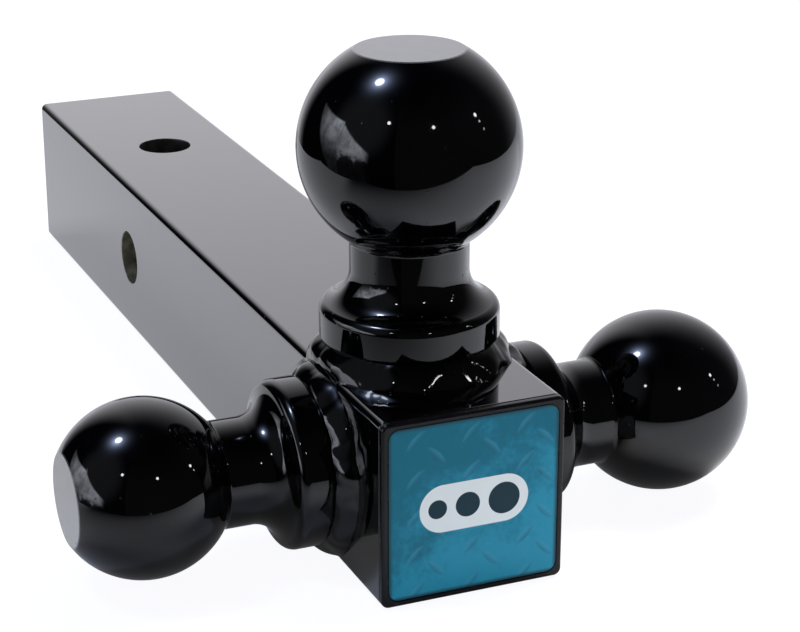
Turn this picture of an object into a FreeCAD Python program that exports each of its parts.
import FreeCAD, Part
import math
import os

import Sketcher
from FreeCAD import Rotation, Vector

# Triple-ball trailer hitch mount: a hollow square receiver shank with three hitch balls
# welded round its front end and a moulded plug in its front opening.
#
# Frame: the origin is where the shank's axis crosses the axis of the pin hole that runs
# from side to side.  +X is to the right, +Y runs along the shank towards the end that
# slides into the vehicle's receiver, and +Z is up.  Lengths are in millimetres.

DIMENSIONS = (
    ("shank_width", 50.8, "outside width of the square shank, 2 in"),
    ("shank_wall", 6.35, "wall of the shank, 1/4 in"),
    ("shank_corner", 2.0, "outside radius of the shank's long corners"),
    ("bore_corner", 1.5, "radius of the long corners inside the shank"),
    ("shank_length", 323.85, "length of the shank without its plug, 12 3/4 in"),
    ("end_chamfer", 0.6, "bevel on the outside edges of both ends"),
    ("seam_width", 3.2, "width of the weld seam inside the shank"),
    ("seam_height", 0.5, "height of the weld seam inside the shank"),
    ("pin_hole_dia", 17.46, "pin holes for a 5/8 in pin, 11/16 in"),
    ("side_hole_from_end", 107.95, "side-to-side pin hole to the open end, 4 1/4 in"),
    ("pin_hole_stagger", 38.1, "from one pin hole to the other, 1 1/2 in"),
    ("ball_from_front", 40.0, "ball axes to the front end of the shank"),
    ("spigot_dia", 25.4, "locating spigot of each ball, through the wall"),
    ("spigot_bevel", 0.8, "bevel on the end of the spigot"),
    ("rim_bevel", 0.7, "bevel on the lower rim of each flange"),
    ("shoulder_radius", 2.8, "round on the upper rim of each flange"),
    ("root_radius", 1.5, "round where the neck meets the ball"),
    ("top_ball_dia", 58.74, "largest ball, 2 5/16 in"),
    ("top_ball_height", 57.8, "centre of the largest ball above the shank's face"),
    ("top_flat_dia", 28.6, "flat on the end of the largest ball"),
    ("top_neck_dia", 31.75, "neck of the largest ball, 1 1/4 in"),
    ("top_flare_radius", 9.4, "hollow flare from neck to flange, largest ball"),
    ("top_flange_dia", 48.0, "flange of the largest ball"),
    ("top_flange_foot", 6.5, "underside of the largest ball's flange above the face"),
    ("top_flange_thick", 7.0, "straight side of the largest ball's flange"),
    ("top_hub_dia", 42.0, "hub under the largest ball's flange"),
    ("top_bead_dia", 55.4, "weld bead of the largest ball where it meets the face"),
    ("left_ball_dia", 47.63, "smallest ball, 1 7/8 in"),
    ("left_ball_height", 49.5, "centre of the smallest ball from the shank's face"),
    ("left_flat_dia", 24.6, "flat on the end of the smallest ball"),
    ("left_neck_dia", 28.8, "neck of the smallest ball"),
    ("left_flare_radius", 8.4, "hollow flare from neck to flange, smallest ball"),
    ("left_flange_dia", 45.8, "flange of the smallest ball"),
    ("left_flange_foot", 5.2, "underside of the smallest ball's flange from the face"),
    ("left_flange_thick", 6.2, "straight side of the smallest ball's flange"),
    ("left_hub_dia", 40.0, "hub under the smallest ball's flange"),
    ("left_bead_dia", 54.0, "weld bead of the smallest ball where it meets the face"),
    ("right_ball_dia", 50.8, "middle ball, 2 in"),
    ("right_ball_height", 50.9, "centre of the middle ball from the shank's face"),
    ("right_flat_dia", 25.4, "flat on the end of the middle ball"),
    ("right_neck_dia", 29.2, "neck of the middle ball"),
    ("right_flare_radius", 8.4, "hollow flare from neck to flange, middle ball"),
    ("right_flange_dia", 44.6, "flange of the middle ball"),
    ("right_flange_foot", 6.0, "underside of the middle ball's flange from the face"),
    ("right_flange_thick", 6.2, "straight side of the middle ball's flange"),
    ("right_hub_dia", 39.0, "hub under the middle ball's flange"),
    ("right_bead_dia", 53.4, "weld bead of the middle ball where it meets the face"),
    ("bead_wrap", 1.7, "how far a bead reaches round the shank's long corners"),
    ("bead_crown", 30.0, "radius of a bead's slightly rounded outer face"),
    ("plug_flange_thick", 2.0, "flange of the front plug"),
    ("plug_flange_round", 0.8, "round on the front rim of the plug"),
    ("plug_skirt_width", 35.7, "outside of the plug's hollow skirt"),
    ("plug_skirt_corner", 2.5, "radius of the skirt's corners"),
    ("plug_skirt_wall", 2.0, "wall of the skirt"),
    ("plug_skirt_length", 17.0, "how far the skirt reaches into the shank"),
    ("plug_fin_thick", 1.2, "thickness of each gripping fin"),
    ("plug_fin_first", 3.0, "from the plug's flange to its first fin"),
    ("plug_fin_pitch", 4.0, "from one fin to the next"),
    ("plug_fin_count", 3, "number of gripping fins"),
    ("plug_notch_width", 5.0, "notch in the fins that clears the weld seam"),
    ("label_width", 47.2, "outside of the square label"),
    ("label_corner", 3.0, "radius of the label's corners"),
    ("label_thick", 0.3, "thickness of the label"),
    ("label_gap", 0.2, "gap between the label and its recess"),
)

doc = FreeCAD.newDocument("triple_ball_mount")
sheet = doc.addObject("Spreadsheet::Sheet", "dims")
for row, (alias, value, note) in enumerate(DIMENSIONS, start=1):
    sheet.set(f"A{row}", alias)
    sheet.set(f"B{row}", str(value))
    sheet.set(f"C{row}", note)
    sheet.setAlias(f"B{row}", alias)
doc.recompute()


class Size:
    """A length as a number, and as the expression that gives it from the sheet."""

    def __init__(self, value, text):
        self.value = float(value)
        self.text = text

    def __add__(self, other):
        return Size(self.value + other.value, f"({self.text} + {other.text})")

    def __sub__(self, other):
        return Size(self.value - other.value, f"({self.text} - {other.text})")

    def __neg__(self):
        return Size(-self.value, f"(-{self.text})")

    def times(self, factor):
        return Size(self.value * factor, f"({self.text} * {factor})")

    def half(self):
        return Size(self.value / 2, f"({self.text} / 2)")


def size(alias):
    return Size(getattr(sheet, alias), f"dims.{alias}")


ZERO = Size(0, "0")
FACE = size("shank_width").half()
BORE = FACE - size("shank_wall")
OPEN_END = size("side_hole_from_end")
FRONT_END = OPEN_END - size("shank_length")
BALL_STATION = FRONT_END + size("ball_from_front")


def bind(feature, **sizes):
    """Ties properties of a feature to the sheet."""
    for name, length in sizes.items():
        feature.setExpression(name, length.text)


def new_body(name):
    body = doc.addObject("PartDesign::Body", name)
    body.Label = name
    return body


def new_sketch(body, name, role, height=None):
    """An empty sketch on one of the body's origin planes, moved along its normal."""
    plane = next(item for item in body.Origin.OriginFeatures if item.Role == role)
    sketch = body.newObject("Sketcher::SketchObject", name)
    sketch.AttachmentSupport = [(plane, "")]
    sketch.MapMode = "FlatFace"
    if height is not None:
        sketch.setExpression(".AttachmentOffset.Base.z", height.text)
    return sketch


def extrude(body, sketch, kind, name, length=None, both_ways=False, reverse=False):
    """A pad or a pocket of a sketch; with no length it goes right through."""
    feature = body.newObject(kind, name)
    feature.Profile = sketch
    if length is None:
        feature.Type = "ThroughAll"
    else:
        bind(feature, Length=length)
    feature.SideType = "Symmetric" if both_ways else "One side"
    feature.Reversed = reverse
    return feature


def join(sketch, kind, first, first_end, second, second_end):
    sketch.addConstraint(Sketcher.Constraint(kind, first, first_end, second, second_end))


def set_radius(sketch, element, length):
    index = sketch.addConstraint(Sketcher.Constraint("Radius", element, length.value))
    sketch.setExpression(f"Constraints[{index}]", length.text)


def set_place(sketch, element, end, across=None, up=None):
    """Ties one point of a sketch element to its distances from the sketch's origin."""
    for kind, axis, length in (("DistanceX", -2, across), ("DistanceY", -1, up)):
        if length is None:
            continue
        if length.value == 0:
            sketch.addConstraint(Sketcher.Constraint("PointOnObject", element, end, axis))
            continue
        index = sketch.addConstraint(
            Sketcher.Constraint(kind, -1, 1, element, end, length.value)
        )
        sketch.setExpression(f"Constraints[{index}]", length.text)


def add_line(sketch, start, end):
    return sketch.addGeometry(Part.LineSegment(Vector(*start, 0), Vector(*end, 0)))


def add_arc(sketch, centre, start, end):
    """An arc about a centre, turning anticlockwise from start to end."""
    radius = math.dist(centre, start)
    first = math.atan2(start[1] - centre[1], start[0] - centre[0])
    last = math.atan2(end[1] - centre[1], end[0] - centre[0])
    circle = Part.Circle(Vector(*centre, 0), Vector(0, 0, 1), radius)
    return sketch.addGeometry(Part.ArcOfCircle(circle, first, last))


def add_circle(sketch, diameter, across=ZERO, up=ZERO):
    centre = Vector(across.value, up.value, 0)
    circle = Part.Circle(centre, Vector(0, 0, 1), diameter.value / 2)
    element = sketch.addGeometry(circle)
    set_radius(sketch, element, diameter.half())
    set_place(sketch, element, 3, across, up)


def add_polygon(sketch, points):
    """A closed outline of straight edges, with every corner tied to the sheet."""
    flat = [(across.value, up.value) for across, up in points]
    edges = []
    for start, end in zip(flat, flat[1:] + flat[:1]):
        edges.append(add_line(sketch, start, end))
    for before, after in zip(edges, edges[1:] + edges[:1]):
        join(sketch, "Coincident", before, 2, after, 1)
    for edge, (across, up) in zip(edges, points):
        set_place(sketch, edge, 1, across, up)


def add_rounded_square(sketch, width, corner):
    """A square with round corners about the sketch's origin."""
    half = width.value / 2
    inner = half - corner.value
    sides = []
    rounds = []
    for quarter in range(4):
        turn = Rotation(Vector(0, 0, 1), 90 * quarter)
        low, high, bend, middle = (
            turn.multVec(Vector(*point, 0))
            for point in ((half, -inner), (half, inner), (inner, half), (inner, inner))
        )
        sides.append(add_line(sketch, low[:2], high[:2]))
        rounds.append(add_arc(sketch, middle[:2], high[:2], bend[:2]))
    for quarter in range(4):
        following = sides[(quarter + 1) % 4]
        join(sketch, "Tangent", sides[quarter], 2, rounds[quarter], 1)
        join(sketch, "Tangent", rounds[quarter], 2, following, 1)
    for side, kind in zip(sides, ("Vertical", "Horizontal", "Vertical", "Horizontal")):
        sketch.addConstraint(Sketcher.Constraint(kind, side))
    for bend in rounds:
        set_radius(sketch, bend, corner)
    set_place(sketch, sides[0], 1, across=width.half())
    set_place(sketch, sides[1], 1, up=width.half())
    set_place(sketch, sides[2], 1, across=-width.half())
    set_place(sketch, sides[3], 1, up=-width.half())


def rounded_bar(body, name, width, corner, start, length):
    """A square bar with round corners that runs along Y from its start."""
    sketch = new_sketch(body, name + "_outline", "XZ_Plane", -start)
    add_rounded_square(sketch, width, corner)
    extrude(body, sketch, "PartDesign::Pad", name, length, reverse=True)


def outline_edges(feature, place):
    """Names of the outer edges of a feature's shape in a plane square to Y."""
    reaches = {}
    for number, edge in enumerate(feature.Shape.Edges, start=1):
        box = edge.BoundBox
        if max(abs(box.YMin - place), abs(box.YMax - place)) < 1e-4:
            reaches[f"Edge{number}"] = max(-box.XMin, box.XMax, -box.ZMin, box.ZMax)
    outside = max(reaches.values()) - size("shank_corner").value / 2
    return [name for name, reach in reaches.items() if reach > outside]


def add_shank_tube():
    """The hollow square shank with its pin holes and the holes for the ball spigots."""
    body = new_body("shank_tube")
    rounded_bar(body, "shank_bar", size("shank_width"), size("shank_corner"),
                FRONT_END, size("shank_length"))
    bore = new_sketch(body, "bore_outline", "XZ_Plane")
    add_rounded_square(bore, BORE.times(2), size("bore_corner"))
    extrude(body, bore, "PartDesign::Pocket", "bore", both_ways=True)

    seam = new_sketch(body, "seam_outline", "XZ_Plane", -FRONT_END)
    edge = size("seam_width").half()
    crest = edge.times(0.6)
    # The seam's foot is let a little into the wall so that the two are one piece.
    foot = -BORE - size("seam_height")
    crown = size("seam_height") - BORE
    add_polygon(seam, ((-edge, foot), (edge, foot), (edge, -BORE), (crest, crown),
                       (-crest, crown), (-edge, -BORE)))
    extrude(body, seam, "PartDesign::Pad", "seam", size("shank_length"), reverse=True)

    side_hole = new_sketch(body, "side_hole_outline", "YZ_Plane")
    add_circle(side_hole, size("pin_hole_dia"))
    extrude(body, side_hole, "PartDesign::Pocket", "side_hole", both_ways=True)
    upright_hole = new_sketch(body, "upright_hole_outline", "XY_Plane")
    add_circle(upright_hole, size("pin_hole_dia"), up=size("pin_hole_stagger"))
    extrude(body, upright_hole, "PartDesign::Pocket", "upright_hole", both_ways=True)

    side_spigots = new_sketch(body, "side_spigot_outline", "YZ_Plane")
    add_circle(side_spigots, size("spigot_dia"), across=BALL_STATION)
    extrude(body, side_spigots, "PartDesign::Pocket", "side_spigot_holes", both_ways=True)
    top_spigot = new_sketch(body, "top_spigot_outline", "XY_Plane")
    add_circle(top_spigot, size("spigot_dia"), up=BALL_STATION)
    extrude(body, top_spigot, "PartDesign::Pocket", "top_spigot_hole", reverse=True)
    doc.recompute()

    base = body.Tip
    rims = outline_edges(base, OPEN_END.value) + outline_edges(base, FRONT_END.value)
    bevel = body.newObject("PartDesign::Chamfer", "end_bevels")
    bevel.Base = (base, rims)
    bind(bevel, Size=size("end_chamfer"))
    return body


def add_ball(name, side):
    """A turned ball with its neck, flange, hub and spigot, standing on its own Z axis.

    The body's own origin is on the shank's face, and its spigot reaches down through
    the wall.
    """
    ball = size(side + "_ball_dia").half()
    centre = size(side + "_ball_height")
    flat = size(side + "_flat_dia").half()
    neck = size(side + "_neck_dia").half()
    flare = size(side + "_flare_radius")
    flange = size(side + "_flange_dia").half()
    foot = size(side + "_flange_foot")
    top = foot + size(side + "_flange_thick")
    hub = size(side + "_hub_dia").half()
    spigot = size("spigot_dia").half()
    shoulder = size("shoulder_radius")
    root = size("root_radius")
    bevel = size("spigot_bevel")
    rim = size("rim_bevel")
    depth = -size("shank_wall")

    # Where the rounds meet, for the sketch to start from.
    bends = shoulder.value + flare.value
    step = flange.value - neck.value
    flare_top = top.value + math.sqrt(bends ** 2 - (bends - step) ** 2)
    shoulder_mid = (flange.value - shoulder.value, top.value)
    flare_mid = (neck.value + flare.value, flare_top)
    share = shoulder.value / bends
    turn = tuple(a + (b - a) * share for a, b in zip(shoulder_mid, flare_mid))
    reach = ball.value + root.value
    root_x = neck.value + root.value
    root_mid = (root_x, centre.value - math.sqrt(reach ** 2 - root_x ** 2))
    ball_mid = (0, centre.value)
    share = ball.value / reach
    touch = tuple(a + (b - a) * share for a, b in zip(ball_mid, root_mid))
    crown = centre.value + math.sqrt(ball.value ** 2 - flat.value ** 2)

    body = new_body(name)
    sketch = new_sketch(body, name + "_outline", "XZ_Plane")
    corners = (
        (ZERO, depth), (spigot - bevel, depth), (spigot, depth + bevel), (spigot, ZERO),
        (hub, ZERO), (hub, foot), (flange - rim, foot), (flange, foot + rim),
    )
    edges = []
    for start, end in zip(corners, corners[1:]):
        edges.append(add_line(sketch, (start[0].value, start[1].value),
                              (end[0].value, end[1].value)))
    for edge, (across, up) in zip(edges, corners):
        set_place(sketch, edge, 1, across, up)
    set_place(sketch, edges[-1], 2, *corners[-1])
    for before, after in zip(edges, edges[1:]):
        join(sketch, "Coincident", before, 2, after, 1)

    wall = add_line(sketch, (flange.value, foot.value + rim.value),
                    (flange.value, top.value))
    round_over = add_arc(sketch, shoulder_mid, (flange.value, top.value), turn)
    hollow = add_arc(sketch, flare_mid, (neck.value, flare_top), turn)
    stem = add_line(sketch, (neck.value, flare_top), (neck.value, root_mid[1]))
    fillet = add_arc(sketch, root_mid, touch, (neck.value, root_mid[1]))
    globe = add_arc(sketch, ball_mid, touch, (flat.value, crown))
    flat_end = add_line(sketch, (flat.value, crown), (0, crown))
    axis = add_line(sketch, (0, crown), (0, depth.value))

    join(sketch, "Coincident", edges[-1], 2, wall, 1)
    set_place(sketch, wall, 2, flange, top)
    join(sketch, "Tangent", wall, 2, round_over, 1)
    join(sketch, "Tangent", round_over, 2, hollow, 2)
    join(sketch, "Tangent", hollow, 1, stem, 1)
    sketch.addConstraint(Sketcher.Constraint("Vertical", stem))
    set_place(sketch, stem, 1, across=neck)
    join(sketch, "Tangent", stem, 2, fillet, 2)
    join(sketch, "Tangent", fillet, 1, globe, 1)
    set_place(sketch, globe, 3, ZERO, centre)
    set_place(sketch, globe, 2, across=flat)
    join(sketch, "Coincident", globe, 2, flat_end, 1)
    sketch.addConstraint(Sketcher.Constraint("Horizontal", flat_end))
    set_place(sketch, flat_end, 2, across=ZERO)
    join(sketch, "Coincident", flat_end, 2, axis, 1)
    join(sketch, "Coincident", axis, 2, edges[0], 1)
    set_radius(sketch, round_over, shoulder)
    set_radius(sketch, hollow, flare)
    set_radius(sketch, fillet, root)
    set_radius(sketch, globe, ball)

    spin(body, sketch, name + "_turning")
    return body


def spin(body, sketch, name):
    """Turns a sketch a full circle about its upright axis."""
    feature = body.newObject("PartDesign::Revolution", name)
    feature.Profile = sketch
    feature.ReferenceAxis = (sketch, ["V_Axis"])
    feature.Angle = 360
    return feature


def add_bead_ring(name, side):
    """The full ring that a ball's weld bead is cut from, on the ball's own Z axis."""
    hub = size(side + "_hub_dia").half()
    outer = size(side + "_bead_dia").half()
    flange = size(side + "_flange_dia").half() - size("rim_bevel")
    foot = size(side + "_flange_foot")
    crown = size("bead_crown")
    wrap = -size("bead_wrap")

    body = new_body(name)
    sketch = new_sketch(body, name + "_outline", "XZ_Plane")
    low = (outer.value, 0)
    high = (flange.value, foot.value)
    chord = math.dist(low, high)
    middle = ((low[0] + high[0]) / 2, (low[1] + high[1]) / 2)
    inward = ((low[1] - high[1]) / chord, (high[0] - low[0]) / chord)
    inset = math.sqrt(crown.value ** 2 - (chord / 2) ** 2)
    bend = (middle[0] + inward[0] * inset, middle[1] + inward[1] * inset)
    face = add_arc(sketch, bend, low, high)
    under = add_line(sketch, high, (hub.value, foot.value))
    inside = add_line(sketch, (hub.value, foot.value), (hub.value, wrap.value))
    bottom = add_line(sketch, (hub.value, wrap.value), (outer.value, wrap.value))
    outside = add_line(sketch, (outer.value, wrap.value), low)
    loop = (face, under, inside, bottom, outside)
    for before, after in ((face, under), (under, inside), (inside, bottom),
                          (bottom, outside), (outside, face)):
        join(sketch, "Coincident", before, 2, after, 1)
    corners = ((outer, ZERO), (flange, foot), (hub, foot), (hub, wrap), (outer, wrap))
    for edge, (across, up) in zip(loop, corners):
        set_place(sketch, edge, 1, across, up)
    set_radius(sketch, face, crown)
    spin(body, sketch, name + "_turning")
    return body


def stand_on_face(item, side):
    """Moves a ball or its bead ring to its face of the shank."""
    turns = {"top": 0, "left": -90, "right": 90}
    out = {"top": (ZERO, FACE), "left": (-FACE, ZERO), "right": (FACE, ZERO)}
    item.Placement.Rotation = Rotation(Vector(0, 1, 0), turns[side])
    across, up = out[side]
    item.setExpression("Placement.Base.x", across.text)
    item.setExpression("Placement.Base.y", BALL_STATION.text)
    item.setExpression("Placement.Base.z", up.text)


def cut(name, base, tool):
    feature = doc.addObject("Part::Cut", name)
    feature.Base = base
    feature.Tool = tool
    feature.Label = name
    return feature


def add_weld_beads():
    """Each bead fills the corner between hub, flange and shank, and wraps the shank's
    round corners; the side beads stop against the top one."""
    blank = new_body("shank_blank")
    rounded_bar(blank, "blank_bar", size("shank_width"), size("shank_corner"),
                FRONT_END, size("shank_length"))
    rings = {}
    for side in ("top", "left", "right"):
        rings[side] = add_bead_ring(side + "_ring", side)
        stand_on_face(rings[side], side)
    stop = doc.addObject("Part::Fuse", "bead_stop")
    stop.Base = blank
    stop.Tool = rings["top"]
    return [
        cut("weld_top", rings["top"], blank),
        cut("weld_left", rings["left"], stop),
        cut("weld_right", rings["right"], stop),
    ]


def add_end_plug():
    """The moulded plug: a flange over the shank's end, with a finned hollow skirt."""
    body = new_body("end_plug")
    thick = size("plug_flange_thick")
    skirt = size("plug_skirt_width")
    rounded_bar(body, "plug_flange", size("shank_width"), size("shank_corner"),
                FRONT_END - thick, thick)
    rounded_bar(body, "plug_skirt", skirt, size("plug_skirt_corner"),
                FRONT_END, size("plug_skirt_length"))

    rounded_bar(body, "plug_fin", BORE.times(2), size("plug_skirt_corner"),
                FRONT_END + size("plug_fin_first"), size("plug_fin_thick"))
    fins = body.newObject("PartDesign::LinearPattern", "plug_fins")
    fins.Originals = [doc.getObject("plug_fin")]
    fins.Direction = (doc.getObject("plug_fin_outline"), ["N_Axis"])
    fins.Reversed = True
    fins.Mode = "Spacing"
    fins.setExpression("Offset", "dims.plug_fin_pitch")
    fins.setExpression("Occurrences", "dims.plug_fin_count")
    body.Tip = fins

    notch = new_sketch(body, "notch_outline", "XZ_Plane", -FRONT_END)
    edge = size("plug_notch_width").half()
    face = -skirt.half()
    below = -FACE
    add_polygon(notch, ((-edge, below), (edge, below), (edge, face), (-edge, face)))
    extrude(body, notch, "PartDesign::Pocket", "seam_notch", size("plug_skirt_length"))

    hollow = new_sketch(body, "hollow_outline", "XZ_Plane", -FRONT_END)
    add_rounded_square(hollow, skirt - size("plug_skirt_wall").times(2),
                       size("plug_skirt_corner") - size("plug_skirt_wall").half())
    extrude(body, hollow, "PartDesign::Pocket", "hollow", size("plug_skirt_length"))

    recess = new_sketch(body, "recess_outline", "XZ_Plane", thick - FRONT_END)
    gap = size("label_gap")
    add_rounded_square(recess, size("label_width") + gap.times(2),
                       size("label_corner") + gap)
    extrude(body, recess, "PartDesign::Pocket", "label_recess", size("label_thick"))
    doc.recompute()

    base = body.Tip
    rounding = body.newObject("PartDesign::Fillet", "front_round")
    rounding.Base = (base, outline_edges(base, (FRONT_END - thick).value))
    bind(rounding, Radius=size("plug_flange_round"))
    return body


def add_front_label():
    """The square label in its recess on the plug's face."""
    body = new_body("front_label")
    front = FRONT_END - size("plug_flange_thick")
    rounded_bar(body, "label_sheet", size("label_width"), size("label_corner"),
                front, size("label_thick"))
    return body


def check(parts):
    """Stops if any object failed or any part's shape is missing or broken."""
    for item in doc.Objects:
        for state in item.State:
            if state in ("Invalid", "Error"):
                raise RuntimeError(f"{item.Name} is {state}")
    for part in parts:
        if part.Shape.isNull() or not part.Shape.isValid():
            raise RuntimeError(f"{part.Label} has no valid shape")
        if len(part.Shape.Solids) != 1:
            raise RuntimeError(f"{part.Label} has {len(part.Shape.Solids)} solids")


parts = [add_shank_tube()]
for side in ("top", "left", "right"):
    ball = add_ball("ball_" + side, side)
    stand_on_face(ball, side)
    parts.append(ball)
parts += add_weld_beads()
parts.append(add_end_plug())
parts.append(add_front_label())

doc.recompute()
check(parts)
os.makedirs("parts", exist_ok=True)
for part in parts:
    part.Shape.exportStep(f"parts/{part.Label}.step")
    box = part.Shape.BoundBox
    print(f"{part.Label}: {part.Shape.Volume:.0f} mm3, x {box.XMin:.1f} to {box.XMax:.1f},"
          f" y {box.YMin:.1f} to {box.YMax:.1f}, z {box.ZMin:.1f} to {box.ZMax:.1f}")
